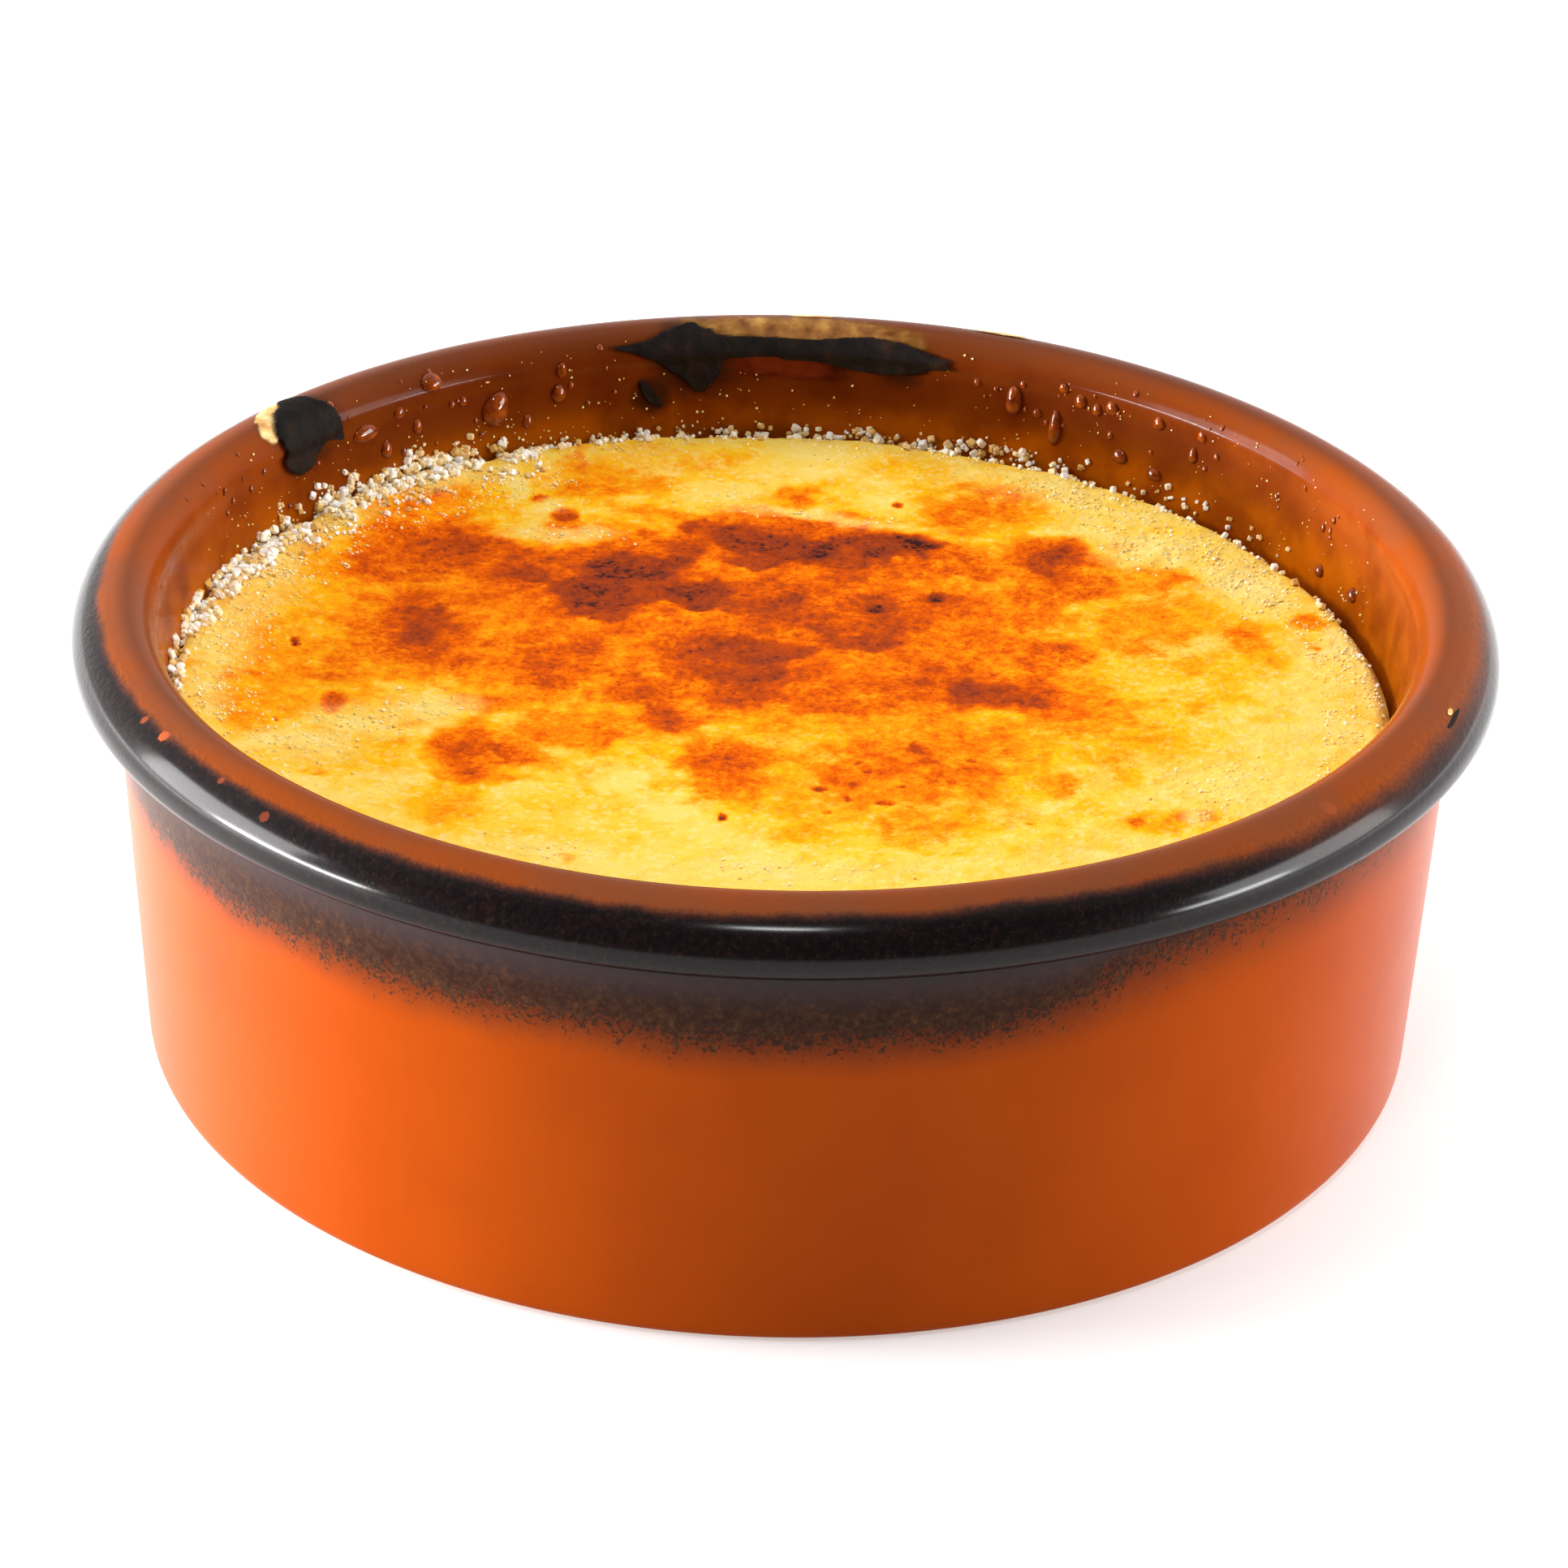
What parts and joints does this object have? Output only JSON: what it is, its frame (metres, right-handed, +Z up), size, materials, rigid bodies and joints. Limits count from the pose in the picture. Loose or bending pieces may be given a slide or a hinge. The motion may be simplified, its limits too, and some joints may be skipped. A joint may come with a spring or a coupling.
{
  "type": "creme brulee",
  "caption": "Round earthenware dish with a thick rolled rim, filled with set custard under a torched sugar crust.",
  "frame": {"origin": "centre of the dish's flat base, on the surface it stands on", "axes": "+Z up along the dish's axis; the side that faces the viewer is towards -Y"},
  "size_m": [0.12, 0.12, 0.0411],
  "materials": {
    "dish": "glazed earthenware: satin orange outside, black rim, honey brown glaze inside",
    "custard": null
  },
  "bodies": {
    "root": {"dish": "dish", "custard": "custard"}
  },
  "joints": []
}
